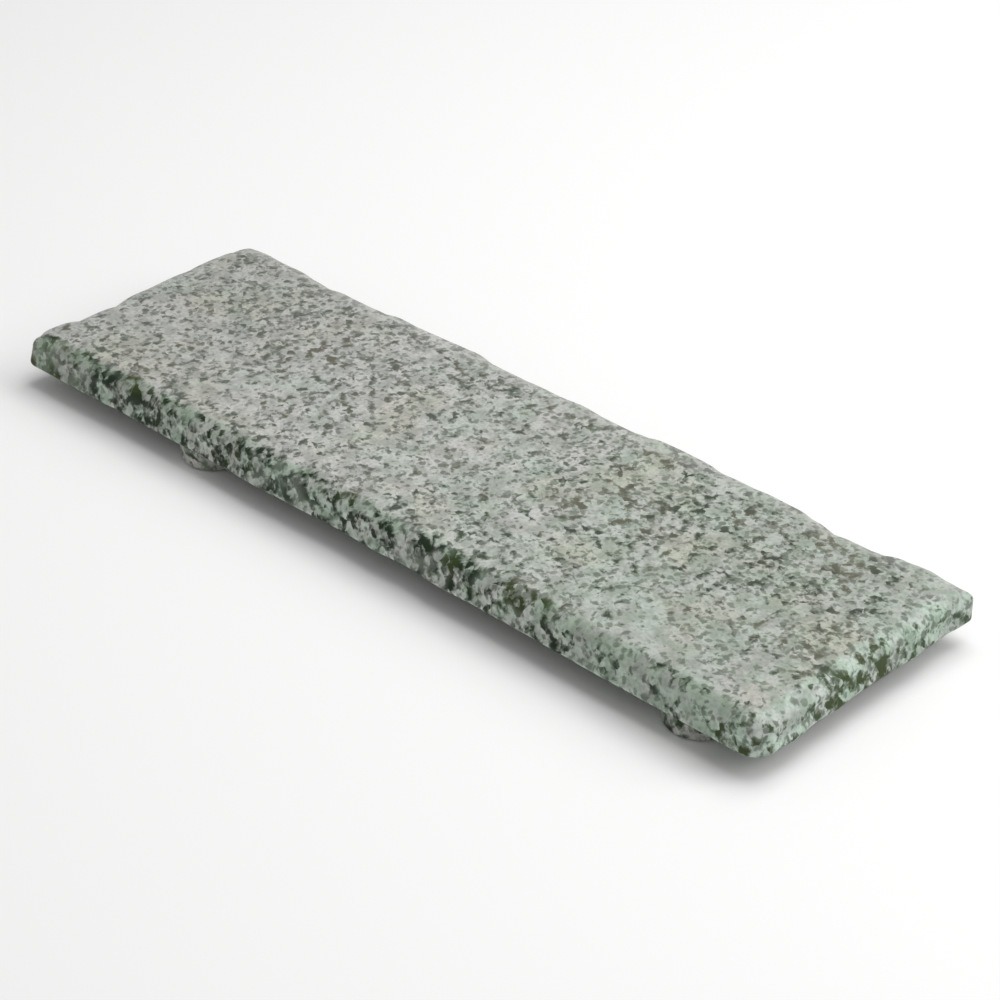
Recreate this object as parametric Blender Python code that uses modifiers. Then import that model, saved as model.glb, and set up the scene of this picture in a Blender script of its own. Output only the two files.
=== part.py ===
"""A long serving tray that looks like a slab of hewn stone, moulded in melamine.

It is a hollow slab, open underneath, on four feet that are glued into bosses, and each foot
holds an anti-slip pad. Units are metres and +Z is up. The origin is on the table, below the
middle of the tray. X runs along the tray, and the front side faces -Y.
"""

import math
from collections import namedtuple

import bmesh
import bpy

# Overall size, over the outermost points of the rim.
tray_length = 0.530
tray_width = 0.162
slab_thickness = 0.020
rim_clearance = 0.012

# The moulded slab. The shoulder is the rounded edge between a side wall and the serving face.
serving_plate_thickness = 0.005
side_wall_thickness = 0.0055
rim_edge_radius = 0.003
shoulder_inset = 0.0088
shoulder_radius = 0.0075
smallest_shoulder_radius = 0.003
margin_width = 0.012
ceiling_fillet_radius = 0.006
core_draft = 0.0004

# Corner radii of the slab, seen from above.
front_left_corner_radius = 0.006
front_right_corner_radius = 0.013
rear_right_corner_radius = 0.0025
rear_left_corner_radius = 0.016
smallest_corner_radius = 0.002

# Where the shoulder is drawn in further than the rim below it, it also lies lower by this share.
crest_drop_share = 0.5

# Shallow hollows in the side walls: their depth, the two lengths that they repeat in, and the
# share of the depth that the long ones take.
hollow_depth = 0.0008
long_hollow_length = 0.094
short_hollow_length = 0.061
long_hollow_share = 0.6

# The hewn outline. Each pair is a distance along the side and how far the edge is drawn in
# there, both in millimetres. Front and back count from the left end, the ends from the front.
millimetre = 0.001
front_rim_wave = [
    (0, 0.0), (42, 0.0), (64, 0.5), (78, 1.0), (105, 0.9), (160, 1.4), (185, 0.6),
    (215, 1.4), (248, 2.4), (275, 1.4), (296, 2.4), (320, 0.7), (350, 1.2), (378, 0.9),
    (404, 0.4), (440, 0.0), (510, 0.0), (524, 0.6),
]
right_rim_wave = [
    (0, 3.6), (14, 3.0), (27, 2.2), (46, 3.5), (58, 2.6), (72, 3.5), (84, 3.1),
    (102, 2.7), (116, 1.6), (140, 2.4), (156, 0.0), (162, 0.0),
]
back_rim_wave = [
    (0, 1.6), (30, 0.4), (60, 0.6), (110, 1.8), (180, 1.0), (240, 1.8), (300, 1.4),
    (345, 0.6), (385, 1.8), (450, 2.4), (490, 0.6), (505, 0.0), (530, 0.0),
]
left_rim_wave = [(0, 0.0), (16, 0.0), (32, 4.2), (58, 5.2), (90, 4.8), (120, 5.2), (150, 4.8)]
front_shoulder_wave = [
    (4, 2.2), (16, 1.2), (35, 1.0), (62, 0.6), (95, 2.2), (128, 1.2), (165, 2.3),
    (205, 1.6), (248, 2.8), (290, 2.0), (330, 2.4), (372, 1.4), (410, 2.6), (455, 1.2),
    (492, 1.0), (520, 0.4),
]
right_shoulder_wave = [
    (8, 3.4), (30, 3.4), (52, 3.6), (78, 4.4), (104, 3.2), (130, 2.6), (150, 0.4), (158, -1.0),
]
back_shoulder_wave = [
    (12, 2.6), (24, 0.2), (40, 1.0), (54, 1.0), (68, 2.5), (84, 3.1), (92, 1.9), (112, 2.5),
    (126, 2.2), (137, -1.0), (155, 0.5), (168, -0.2), (187, -1.8), (197, -2.7), (210, 1.0),
    (235, 1.4), (246, 0.2), (262, 1.0), (275, -0.9), (292, 1.1), (312, 0.9), (322, -0.4),
    (334, -4.0), (361, -4.4), (373, -0.6), (385, -2.4), (395, -1.4), (407, -2.3), (416, -1.8),
    (426, 2.6), (447, 4.5), (460, 3.1), (471, 3.4), (482, 2.6), (492, -1.7), (505, -2.8),
    (516, -0.2), (526, 0.0),
]
left_shoulder_wave = [
    (8, 2.2), (14, 0.0), (20, 0.4), (28, 5.0), (46, 5.1), (57, 6.3), (72, 3.4),
    (84, 4.5), (103, 3.8), (113, 5.2), (121, 3.9), (127, 5.0), (138, 4.1), (144, 6.8),
    (150, 8.0),
]

# Feet. The front row stands at these distances from the ends, and the rear row the other way
# round, so that the tray stands the same when it is turned end for end.
foot_from_left_end = 0.132
foot_from_right_end = 0.055
foot_from_long_edge = 0.022
foot_top_diameter = 0.0378
foot_bottom_diameter = 0.0368
foot_top_chamfer = 0.0008
foot_edge_radius = 0.0028
boss_diameter = 0.032
spigot_diameter = 0.014
spigot_length = 0.009
spigot_chamfer = 0.0008
pad_diameter = 0.024
pad_thickness = 0.0022
pad_recess_depth = 0.0018
pad_edge_chamfer = 0.0003

# Gaps for glue between pieces.
glue_gap = 0.0003

# Fineness of the mesh. Edges flatter than the crease angle are shaded smooth, points closer
# than the weld distance are one point, and a cutter reaches past what it cuts by the overshoot.
outline_spacing = 0.0082
core_spacing = 0.016
corner_steps = 5
rim_edge_steps = 3
wall_steps = 3
shoulder_steps = 4
fillet_steps = 3
foot_edge_steps = 4
turned_steps = 28
crease_angle = math.radians(40)
weld_distance = 0.00002
cutter_overshoot = 0.005

# Worked out from the sizes above.
half_length = tray_length / 2
half_width = tray_width / 2
rim_plane = rim_clearance
serving_face = rim_clearance + slab_thickness
foot_top = rim_plane - glue_gap
foot_bottom = pad_thickness + glue_gap - pad_recess_depth

# One side of the slab, seen from above: the direction that it runs in, the direction to its
# outside, its length, its distance from the middle, whether its waves are counted from its far
# end, the radius of the corner that it starts at, and its waves.
Side = namedtuple(
    "Side", "run outward length reach counts_back corner_radius rim_wave shoulder_wave"
)


def clear_scene():
    """Remove every object that the file opened with."""
    for old in list(bpy.data.objects):
        bpy.data.objects.remove(old, do_unlink=True)


def new_collection(name):
    """Make a collection under the scene's own."""
    collection = bpy.data.collections.new(name)
    bpy.context.scene.collection.children.link(collection)
    return collection


def plain_material(name, colour, roughness):
    """A Principled material of one colour."""
    material = bpy.data.materials.new(name)
    material.use_nodes = True
    shader = material.node_tree.nodes["Principled BSDF"]
    shader.inputs["Base Color"].default_value = (*colour, 1.0)
    shader.inputs["Roughness"].default_value = roughness
    shader.inputs["Metallic"].default_value = 0.0
    return material


def wave_depth(wave, along):
    """How far a hewn edge is drawn in at a distance along its side, eased between its points."""
    place = along / millimetre
    if place <= wave[0][0]:
        return wave[0][1] * millimetre
    for (start, first), (end, second) in zip(wave, wave[1:]):
        if place <= end:
            share = (place - start) / (end - start)
            ease = (1 - math.cos(math.pi * share)) / 2
            return (first + (second - first) * ease) * millimetre
    return wave[-1][1] * millimetre


def hollow_at(along):
    """Depth of the shallow hollows that the side walls have between their edges."""
    long_wave = 0.5 - 0.5 * math.cos(2 * math.pi * along / long_hollow_length)
    short_wave = 0.5 - 0.5 * math.cos(2 * math.pi * along / short_hollow_length)
    short_share = 1 - long_hollow_share
    return hollow_depth * (long_hollow_share * long_wave + short_share * short_wave)


def edge_lines(rim_wave, shoulder_wave, along):
    """The rim's depth at one place, with the shoulder's depth, radius and crest height."""
    rim = wave_depth(rim_wave, along)
    drawn_in = wave_depth(shoulder_wave, along)
    shoulder = max(shoulder_inset + drawn_in, rim + smallest_shoulder_radius)
    radius = min(shoulder_radius, shoulder - rim)
    drop = max(drawn_in - rim, 0.0) * crest_drop_share
    return rim, shoulder, radius, serving_face - drop


def slab_section(rim_wave, shoulder_wave, along):
    """The outer skin's section at one place, as depths from the outermost line and heights."""
    rim, shoulder, radius, crest = edge_lines(rim_wave, shoulder_wave, along)
    section = []
    for step in range(rim_edge_steps + 1):
        angle = math.pi / 2 * step / rim_edge_steps
        depth = rim + rim_edge_radius * (1 - math.sin(angle))
        section.append((depth, rim_plane + rim_edge_radius * (1 - math.cos(angle))))
    wall_bottom = rim_plane + rim_edge_radius
    wall_top = crest - radius
    wall_top_depth = shoulder - radius
    for step in range(1, wall_steps):
        share = step / wall_steps
        hollow = hollow_at(along) * math.sin(math.pi * share)
        depth = rim + (wall_top_depth - rim) * share + hollow
        section.append((depth, wall_bottom + (wall_top - wall_bottom) * share))
    for step in range(shoulder_steps + 1):
        angle = math.pi / 2 * step / shoulder_steps
        depth = shoulder - radius * math.cos(angle)
        section.append((depth, wall_top + radius * math.sin(angle)))
    section.append((shoulder + margin_width, serving_face))
    return section


def core_section(rim_wave, shoulder_wave, along):
    """The hollow's section at one place, from below the rim up to the ceiling."""
    rim, shoulder, radius, _ = edge_lines(rim_wave, shoulder_wave, along)
    ceiling = serving_face - serving_plate_thickness
    low_depth = rim + side_wall_thickness
    high_depth = shoulder - radius + side_wall_thickness + core_draft
    fillet_start = ceiling - ceiling_fillet_radius
    section = [(low_depth, rim_plane - cutter_overshoot), (low_depth, rim_plane)]
    for step in range(fillet_steps + 1):
        angle = math.pi / 2 * step / fillet_steps
        depth = high_depth + ceiling_fillet_radius * (1 - math.cos(angle))
        section.append((depth, fillet_start + ceiling_fillet_radius * math.sin(angle)))
    return section


def tray_sides():
    """The four sides in turn, anticlockwise from the front, seen from above."""
    return [
        Side((1, 0), (0, -1), tray_length, half_width, False,
             front_left_corner_radius, front_rim_wave, front_shoulder_wave),
        Side((0, 1), (1, 0), tray_width, half_length, False,
             front_right_corner_radius, right_rim_wave, right_shoulder_wave),
        Side((-1, 0), (0, 1), tray_length, half_width, True,
             rear_right_corner_radius, back_rim_wave, back_shoulder_wave),
        Side((0, -1), (-1, 0), tray_width, half_length, True,
             rear_left_corner_radius, left_rim_wave, left_shoulder_wave),
    ]


def side_sections(side, end_radius, section_at, spacing):
    """Sections at even steps along one side's straight stretch, from its start to its end."""
    stretch = side.length - side.corner_radius - end_radius
    steps = max(2, round(stretch / spacing))
    sections = []
    for step in range(steps + 1):
        place = side.corner_radius + stretch * step / steps
        along = side.length - place if side.counts_back else place
        sections.append(section_at(side.rim_wave, side.shoulder_wave, along))
    return sections


def arc_centre(corner_radius, nominal):
    """A corner arc's distance from both outermost lines, for a ring at a nominal depth."""
    return nominal + max(corner_radius - nominal, smallest_corner_radius)


def slab_rings(section_at, spacing):
    """Rings of points round the slab, one for each point of the section."""
    sides = tray_sides()
    sections = [
        side_sections(side, sides[(number + 1) % 4].corner_radius, section_at, spacing)
        for number, side in enumerate(sides)
    ]
    nominal_section = section_at([(0, 0.0)], [(0, 0.0)], 0.0)
    rings = []
    for level, (nominal, _) in enumerate(nominal_section):
        ring = []
        for number, side in enumerate(sides):
            following = (number + 1) % 4
            start = arc_centre(side.corner_radius, nominal)
            end = arc_centre(sides[following].corner_radius, nominal)
            here = [section[level] for section in sections[number]]
            there = sections[following][0][level]
            ring += straight_points(side, here, start, end)
            ring += corner_points(side, sides[following], here[-1], there, end, nominal)
        rings.append(ring)
    return rings


def straight_points(side, places, start, end):
    """Points along one side, each with its own depth and height."""
    points = []
    for number, (depth, height) in enumerate(places):
        share = number / (len(places) - 1)
        along = start + share * (side.length - start - end) - side.length / 2
        out = side.reach - depth
        points.append((
            side.run[0] * along + side.outward[0] * out,
            side.run[1] * along + side.outward[1] * out,
            height,
        ))
    return points


def corner_points(side, following, here, there, centre, nominal):
    """Points round the corner after a side, with its last depth eased into the next one's."""
    centre_x = side.run[0] * (side.length / 2 - centre) + side.outward[0] * (side.reach - centre)
    centre_y = side.run[1] * (side.length / 2 - centre) + side.outward[1] * (side.reach - centre)
    points = []
    for step in range(1, corner_steps):
        share = step / corner_steps
        depth = here[0] + (there[0] - here[0]) * share
        height = here[1] + (there[1] - here[1]) * share
        out = centre - depth
        ahead = math.cos(math.pi / 2 * share)
        aside = math.sin(math.pi / 2 * share)
        points.append((
            centre_x + (side.outward[0] * ahead + following.outward[0] * aside) * out,
            centre_y + (side.outward[1] * ahead + following.outward[1] * aside) * out,
            height,
        ))
    return points


def lofted_mesh(name, rings):
    """A closed mesh through rings of as many points each, flat at both ends."""
    shape = bmesh.new()
    levels = [[shape.verts.new(point) for point in ring] for ring in rings]
    count = len(rings[0])
    for lower, upper in zip(levels, levels[1:]):
        for place in range(count):
            after = (place + 1) % count
            shape.faces.new((lower[place], lower[after], upper[after], upper[place]))
    shape.faces.new(list(reversed(levels[0])))
    shape.faces.new(levels[-1])
    mesh = bpy.data.meshes.new(name)
    shape.to_mesh(mesh)
    shape.free()
    mesh.shade_smooth()
    mesh.set_sharp_from_angle(angle=crease_angle)
    return mesh


def add_object(name, mesh, collection, material=None):
    """Put a mesh in a collection as an object."""
    piece = bpy.data.objects.new(name, mesh)
    collection.objects.link(piece)
    if material:
        mesh.materials.append(material)
    return piece


def mark_as_cutter(piece):
    """Leave an object out of the render and show it as wire."""
    piece.hide_render = True
    piece.display_type = "WIRE"
    return piece


def add_cylinder(name, collection, diameter, low, high, x, y):
    """An upright cylinder that only cuts other pieces."""
    shape = bmesh.new()
    bmesh.ops.create_cone(
        shape, cap_ends=True, segments=turned_steps,
        radius1=diameter / 2, radius2=diameter / 2, depth=high - low,
    )
    mesh = bpy.data.meshes.new(name)
    shape.to_mesh(mesh)
    shape.free()
    piece = add_object(name, mesh, collection)
    piece.location = (x, y, (low + high) / 2)
    return mark_as_cutter(piece)


def cut_away(piece, cutter):
    """Cut one object with another, and keep the cut live."""
    cut = piece.modifiers.new(cutter.name, "BOOLEAN")
    cut.object = cutter
    cut.operation = "DIFFERENCE"
    cut.solver = "EXACT"


def foot_places():
    """Each foot's name and its place: the rear row is the front row turned half a turn."""
    left = -half_length + foot_from_left_end
    right = half_length - foot_from_right_end
    front = -half_width + foot_from_long_edge
    return [
        ("front_left", left, front),
        ("front_right", right, front),
        ("rear_right", -left, -front),
        ("rear_left", -right, -front),
    ]


def build_core(cutters):
    """The mould's core, which is holed where the bosses stand."""
    mesh = lofted_mesh("mould_core", slab_rings(core_section, core_spacing))
    core = mark_as_cutter(add_object("mould_core", mesh, cutters))
    for name, x, y in foot_places():
        boss = add_cylinder(
            "boss_" + name, cutters, boss_diameter,
            rim_plane - 2 * cutter_overshoot, serving_face, x, y,
        )
        cut_away(core, boss)
    return core


def build_shell(parts, cutters):
    """The hewn slab, hollowed by the core, with a blind bore in each boss."""
    material = plain_material("stone_look_melamine", (0.40, 0.42, 0.37), 0.48)
    mesh = lofted_mesh("tray_shell", slab_rings(slab_section, outline_spacing))
    shell = add_object("tray_shell", mesh, parts, material)
    cut_away(shell, build_core(cutters))
    bore_diameter = spigot_diameter + 2 * glue_gap
    bore_end = foot_top + spigot_length + glue_gap
    for name, x, y in foot_places():
        bore = add_cylinder(
            "bore_" + name, cutters, bore_diameter,
            rim_plane - cutter_overshoot, bore_end, x, y,
        )
        cut_away(shell, bore)


def turned_object(name, profile, collection, material):
    """A turned piece, from a profile that runs down its outer side."""
    mesh = bpy.data.meshes.new(name)
    edges = [(place, place + 1) for place in range(len(profile) - 1)]
    mesh.from_pydata([(radius, 0.0, height) for radius, height in profile], edges, [])
    piece = add_object(name, mesh, collection, material)
    turn = piece.modifiers.new("turn", "SCREW")
    turn.axis = "Z"
    turn.angle = math.radians(360)
    turn.steps = turned_steps
    turn.render_steps = turned_steps
    turn.use_merge_vertices = True
    turn.merge_threshold = weld_distance
    turn.use_smooth_shade = True
    return piece


def foot_profile():
    """A flared disc with a spigot on top and a shallow recess underneath."""
    spigot = spigot_diameter / 2
    top = foot_top_diameter / 2
    bottom = foot_bottom_diameter / 2
    recess = pad_diameter / 2 + glue_gap
    spigot_top = foot_top + spigot_length
    profile = [
        (0.0, spigot_top),
        (spigot - spigot_chamfer, spigot_top),
        (spigot, spigot_top - spigot_chamfer),
        (spigot, foot_top),
        (top - foot_top_chamfer, foot_top),
        (top, foot_top - foot_top_chamfer),
    ]
    for step in range(foot_edge_steps + 1):
        angle = math.pi / 2 * step / foot_edge_steps
        profile.append((
            bottom - foot_edge_radius * (1 - math.cos(angle)),
            foot_bottom + foot_edge_radius * (1 - math.sin(angle)),
        ))
    profile += [
        (recess, foot_bottom),
        (recess, foot_bottom + pad_recess_depth),
        (0.0, foot_bottom + pad_recess_depth),
    ]
    return profile


def pad_profile():
    """A flat anti-slip disc with its edges broken."""
    radius = pad_diameter / 2
    return [
        (0.0, pad_thickness),
        (radius - pad_edge_chamfer, pad_thickness),
        (radius, pad_thickness - pad_edge_chamfer),
        (radius, pad_edge_chamfer),
        (radius - pad_edge_chamfer, 0.0),
        (0.0, 0.0),
    ]


def build_feet(parts):
    """Four feet, each with its pad, which is parented to it."""
    for name, x, y in foot_places():
        foot_material = plain_material("foot_melamine_" + name, (0.30, 0.31, 0.27), 0.5)
        foot = turned_object("foot_" + name, foot_profile(), parts, foot_material)
        foot.location = (x, y, 0.0)
        pad_material = plain_material("pad_silicone_" + name, (0.05, 0.05, 0.05), 0.7)
        pad = turned_object("pad_" + name, pad_profile(), parts, pad_material)
        pad.parent = foot


def main():
    """Build the tray."""
    clear_scene()
    parts = new_collection("serving_tray")
    cutters = new_collection("cutters")
    build_shell(parts, cutters)
    build_feet(parts)
    bpy.context.view_layer.update()


main()
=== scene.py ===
"""The looks of a melamine serving tray that imitates a slab of hewn granite.

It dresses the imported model: a fine skin for the slab, turned feet and pads, a speckled finish and
a plain pale studio. Lengths are in metres, apart from the outline's waves, which are in millimetres.
"""

import math
from collections import namedtuple

import bmesh
import bpy
from bpy.props import FloatProperty, FloatVectorProperty, IntProperty, PointerProperty
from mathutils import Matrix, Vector, noise


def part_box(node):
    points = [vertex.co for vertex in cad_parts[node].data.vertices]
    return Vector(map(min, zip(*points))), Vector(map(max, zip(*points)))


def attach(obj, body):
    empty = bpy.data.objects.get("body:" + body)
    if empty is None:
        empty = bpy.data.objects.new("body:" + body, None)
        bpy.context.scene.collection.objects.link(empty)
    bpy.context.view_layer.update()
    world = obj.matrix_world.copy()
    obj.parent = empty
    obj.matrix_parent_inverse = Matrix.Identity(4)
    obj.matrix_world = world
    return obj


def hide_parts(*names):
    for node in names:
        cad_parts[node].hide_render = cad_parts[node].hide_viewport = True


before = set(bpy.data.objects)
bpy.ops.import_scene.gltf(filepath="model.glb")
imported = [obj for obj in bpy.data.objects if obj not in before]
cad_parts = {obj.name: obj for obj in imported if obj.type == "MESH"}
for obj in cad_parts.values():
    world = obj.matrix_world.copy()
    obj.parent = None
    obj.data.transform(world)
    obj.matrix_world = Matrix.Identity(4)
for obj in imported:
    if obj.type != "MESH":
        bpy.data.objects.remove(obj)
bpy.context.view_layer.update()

bl_info = {
    "name": "Stone-look serving tray",
    "version": (1, 0, 0),
    "blender": (4, 5, 0),
    "location": "3D View > Sidebar > Serving tray",
    "description": "Builds the skin, feet, pads and studio of a melamine serving tray",
    "category": "Add Mesh",
}

millimetre = 0.001
body = "root"
corner_names = ("front_left", "front_right", "rear_right", "rear_left")

# The slab as packed: its box gives the outline, the rim's height and the serving face.
shell_low, shell_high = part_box("tray_shell")
tray_length = shell_high[0] - shell_low[0]
tray_width = shell_high[1] - shell_low[1]
half_length = tray_length / 2
half_width = tray_width / 2
rim_plane = shell_low[2]
serving_face = shell_high[2]

# The slab's section. The shoulder is the rounded edge between a side wall and the serving face:
# a quarter of an ellipse whose height is a share of its reach. It starts a share of its reach
# further in than the shoulder's line. The margin is the band between it and the flat face. The
# core is the block that cuts the hollow, and the mouth is the hollow's open edge.
serving_plate_thickness = 0.005
side_wall_thickness = 0.0055
rim_edge_radius = 0.003
shoulder_inset = 0.0088
shoulder_reach = 0.0115
smallest_shoulder_reach = 0.004
shoulder_flatness = 0.7
shoulder_creep = 0.2
margin_width = 0.012
ceiling_fillet_radius = 0.006
core_draft = 0.0004
core_overrun = 0.0055
mouth_round = 0.0009

# Corner radii of the slab, seen from above.
front_left_corner_radius = 0.006
front_right_corner_radius = 0.013
rear_right_corner_radius = 0.0025
rear_left_corner_radius = 0.016
smallest_corner_radius = 0.002

# Where the shoulder is drawn in further than the rim below it, and by more than the slack, it
# also lies lower by this share of the rest.
crest_drop_share = 0.5
crest_slack = 0.0015

# Shallow hollows in the side walls. They and the hewn dents fade out towards each corner, over
# the calm length.
hollow_depth = 0.0008
long_hollow_length = 0.094
short_hollow_length = 0.061
long_hollow_share = 0.6
calm_length = 0.020

# The hewn relief is made of broad dents and closer ones.
broad_dent_share = 0.7
close_dent_share = 0.3
close_dent_scale = 2.3

# The hollow's bosses, and the bores in them for the feet's spigots. Cutters run on below the rim.
boss_diameter = 0.032
boss_flare = 0.0025
boss_overrun = 0.011
bore_clearance = 0.0006
bore_end_gap = 0.0003
bore_overrun = 0.005

# The feet and pads. A broken edge has one more point, a share of its width from the sharp corner.
broken_edge_share = 0.3
foot_chamfer = 0.0008
foot_taper = 0.0005
foot_top_gap = 0.0003
recess_radius = 0.0123
recess_depth = 0.0018
recess_edge = 0.0004
pad_edge = 0.0004

# The pads' ring grooves, as shares of the distance between two: how far in the first one lies,
# half the width of a groove's mouth, and what its floor has of that.
first_groove_share = 0.8
groove_mouth_share = 0.22
groove_floor_share = 0.5

# The hewn outline. Each pair is a distance along the side and how far the edge is drawn in
# there, both in millimetres. Front and back count from the left end, the ends from the front.
front_rim_wave = [
    (0, 0.0), (42, 0.0), (64, 0.5), (78, 1.0), (105, 0.9), (160, 1.4), (185, 0.6),
    (215, 1.4), (248, 2.4), (275, 1.4), (296, 2.4), (320, 0.7), (350, 1.2), (378, 0.9),
    (404, 0.4), (440, 0.0), (510, 0.0), (524, 0.6),
]
right_rim_wave = [
    (0, 2.8), (14, 1.9), (27, 1.1), (46, 2.3), (58, 1.4), (72, 2.2), (84, 1.9),
    (102, 1.5), (116, 0.6), (140, 1.2), (156, 0.0), (162, 0.0),
]
back_rim_wave = [
    (0, 1.6), (30, 0.4), (60, 0.6), (110, 1.8), (180, 1.0), (240, 1.8), (300, 1.4),
    (345, 0.6), (385, 1.8), (450, 2.4), (490, 0.6), (505, 0.0), (530, 0.0),
]
left_rim_wave = [(0, 0.0), (16, 0.0), (32, 4.2), (58, 5.2), (90, 4.8), (120, 5.2), (150, 4.8)]
front_shoulder_wave = [
    (4, 2.4), (16, 2.6), (35, 2.9), (62, 2.6), (95, 4.1), (128, 3.2), (165, 4.3),
    (205, 3.6), (248, 4.8), (290, 4.0), (330, 4.3), (372, 3.2), (410, 3.7), (455, 2.0),
    (492, 1.6), (520, 0.6),
]
right_shoulder_wave = [
    (8, 3.4), (30, 3.4), (52, 3.6), (78, 4.4), (104, 3.2), (130, 2.6), (150, 0.4), (158, -1.0),
]
back_shoulder_wave = [
    (14, 1.4), (26, -0.1), (40, 0.6), (54, 0.4), (68, 2.5), (84, 3.4), (92, 2.3), (112, 2.6),
    (126, 2.1), (137, -1.4), (155, -0.6), (168, -1.3), (187, -2.7), (197, -3.5), (210, 0.3),
    (235, 0.6), (246, -0.4), (262, -0.3), (275, -1.9), (292, 0.3), (312, 0.3), (322, -1.3),
    (334, -4.8), (361, -5.2), (373, -1.9), (385, -2.5), (395, -2.0), (407, -3.3), (423, -2.8),
    (435, 1.2), (450, 4.4), (461, 3.4), (471, 3.3), (482, 2.5), (492, -2.1), (505, -3.6),
    (516, -1.4), (526, -0.2),
]
left_shoulder_wave = [
    (8, 2.2), (14, 0.0), (20, 0.4), (28, 5.0), (46, 5.1), (57, 7.0), (72, 3.4),
    (84, 4.5), (103, 3.8), (113, 5.2), (121, 4.2), (131, 4.2), (140, 5.2), (150, 7.8),
]

# Fineness of the skin's mesh.
outline_spacing = 0.0020
core_spacing = 0.004
corner_steps = 12
rim_edge_steps = 6
wall_steps = 9
shoulder_steps = 10
margin_steps = 5
fillet_steps = 6
mouth_steps = 4
foot_edge_steps = 10
turned_steps = 96
crease_angle = math.radians(38)
weld_distance = 0.00001

# Where the specks lie closer together or further apart: the middle and reach of a soft patch, and
# how much closer. Then the same for where they turn olive.
crowded_patches = [
    ((0.262, 0.000, 0.014), 0.048, 0.002),
    ((0.262, -0.055, 0.024), 0.040, -0.095),
    ((0.262, 0.058, 0.024), 0.042, -0.210),
    ((0.180, -0.080, 0.024), 0.090, -0.128),
    ((0.230, -0.078, 0.023), 0.036, -0.095),
    ((-0.130, -0.080, 0.018), 0.022, -0.090),
    ((-0.060, -0.080, 0.016), 0.060, 0.016),
    ((0.048, -0.080, 0.018), 0.055, 0.058),
    ((0.005, 0.000, 0.032), 0.120, -0.045),
    ((-0.190, -0.080, 0.018), 0.060, 0.028),
    ((-0.258, -0.078, 0.022), 0.026, 0.080),
]
olive_patches = [
    ((0.262, 0.004, 0.012), 0.036, 0.28),
    ((0.248, -0.076, 0.012), 0.022, 0.14),
    ((0.090, 0.045, 0.032), 0.055, 0.08),
]

# Where the finish changes, as the two limits that it eases between. Slopes are the upward part of
# the surface's direction, or its rearward part less its rightward one. Places lie along the tray
# or across it.
wall_slopes = (0.93, 0.35)
near_edge_slopes = (-0.05, -0.33)
# The painted sheen lies on the far edges.
far_edge_slopes = (0.01, 0.22)
far_edge_places = (0.063, 0.073)
rear_places = (-0.065, 0.070)
right_places = (-0.17, 0.15)
greener_places = (-0.13, 0.17)
right_end_places = (0.235, 0.258)

# The same for the noises that bring in a colour, with its share at either limit.
cool_range = (0.53, 0.72)
beige_range = (0.48, 0.70, 0.0, 0.60)
drift_range = (0.38, 0.66, 0.0, 0.44)
mottle_range = (0.34, 0.72, 0.0, 0.38)
speck_tone_range = (0.2, 0.9, 0.0, 0.6)
speck_range = (0.97, 1.46, 0.0, 0.84)
half_dark_range = (0.762, 0.872, 0.0, 0.80)
dark_range = (0.838, 0.952)
olive_range = (0.48, 0.66)
haze_range = (0.50, 0.66, 0.0, 0.38)
cast_range = (0.36, 0.64)
near_ends_range = (0.06, 0.21, 0.0, 0.14)
top_cast_range = (-0.13, 0.06, 0.25, 0.42)

# How much each area or noise counts for in the cool drift, the painted shade on the ground, the specks
# and the blotches. The shoulders have a pair, for the front and the right end.
greener_in_cool = 0.26
rear_in_shade = 0.06
shoulders_in_shade = (0.50, 0.06)
mottle_in_specks = 1.2
crowd_in_specks = 0.5
right_in_specks = 0.06
# Painted shade towards the rear, as more specks there.
rear_in_specks = 0.08
crowd_in_blotches = 0.25
crystal_in_blotches = 0.20
shoulders_in_blotches = (-0.035, -0.110)
# Painted shade towards the rear, as more blotches there.
rear_in_blotches = 0.028
right_in_blotches = 0.015

# How much of the second colour goes into a mix.
wall_ground_share = 0.85
right_dark_share = 0.60
half_dark_share = 0.5
painted_sheen_share = 0.27
haze_middle_share = 0.6

# Sizes and shifts of the other noises, some as shares of a setting, and of the fine bump.
ripple_share = 0.6
speck_share = 0.95
mottle_share = 0.55
speck_shift = (0.37, 0.19, 0.53)
foot_noise_step = 0.11
foot_noise_shift = 0.07
tint_size = 0.040
drift_size = 0.0095
cast_size = 0.014
skin_size = 0.0011
skin_depth = 0.00005
blotch_relief = 1.5

# The satin of the melamine: how its roughness follows the mottle, and how it mirrors.
gloss_range = (0.3, 0.7)
gloss_fall = 0.05
gloss_rise = 0.06
melamine_ior = 1.55
melamine_specular = 0.20

# The silicone's dust and grain.
dust_size = 0.004
dust_range = (0.45, 0.75, 0.0, 0.5)
dust_roughness_range = (0.3, 0.7, 0.55, 0.75)
silicone_grain_size = 0.0006
silicone_grain_depth = 0.00003

# The studio.
floor_size = 12.0
floor_roughness = 0.9
key_size = 1.1
key_place = (1.5, 1.1, 1.2)
top_size = 1.6
top_place = (0.2, 0.6, 1.9)
sensor_width = 36.0

# One side of the slab, seen from above: the direction that it runs in, the direction to its
# outside, its length, its distance from the middle, whether its waves are counted from its far
# end, the radius of the corner that it starts at, and its waves.
Side = namedtuple(
    "Side", "run outward length reach counts_back corner_radius rim_wave shoulder_wave"
)

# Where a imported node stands: the middle of its box, its lowest and highest level, and its width.
Spot = namedtuple("Spot", "x y low high width")


def length_setting(name, description, default):
    """A setting that holds a small length."""
    return FloatProperty(
        name=name, description=description, default=default, unit="LENGTH", precision=4,
    )


def colour_setting(name, description, default):
    """A setting that holds a colour."""
    return FloatVectorProperty(
        name=name, description=description, default=default,
        size=3, subtype="COLOR", min=0.0, max=1.0,
    )


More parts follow.
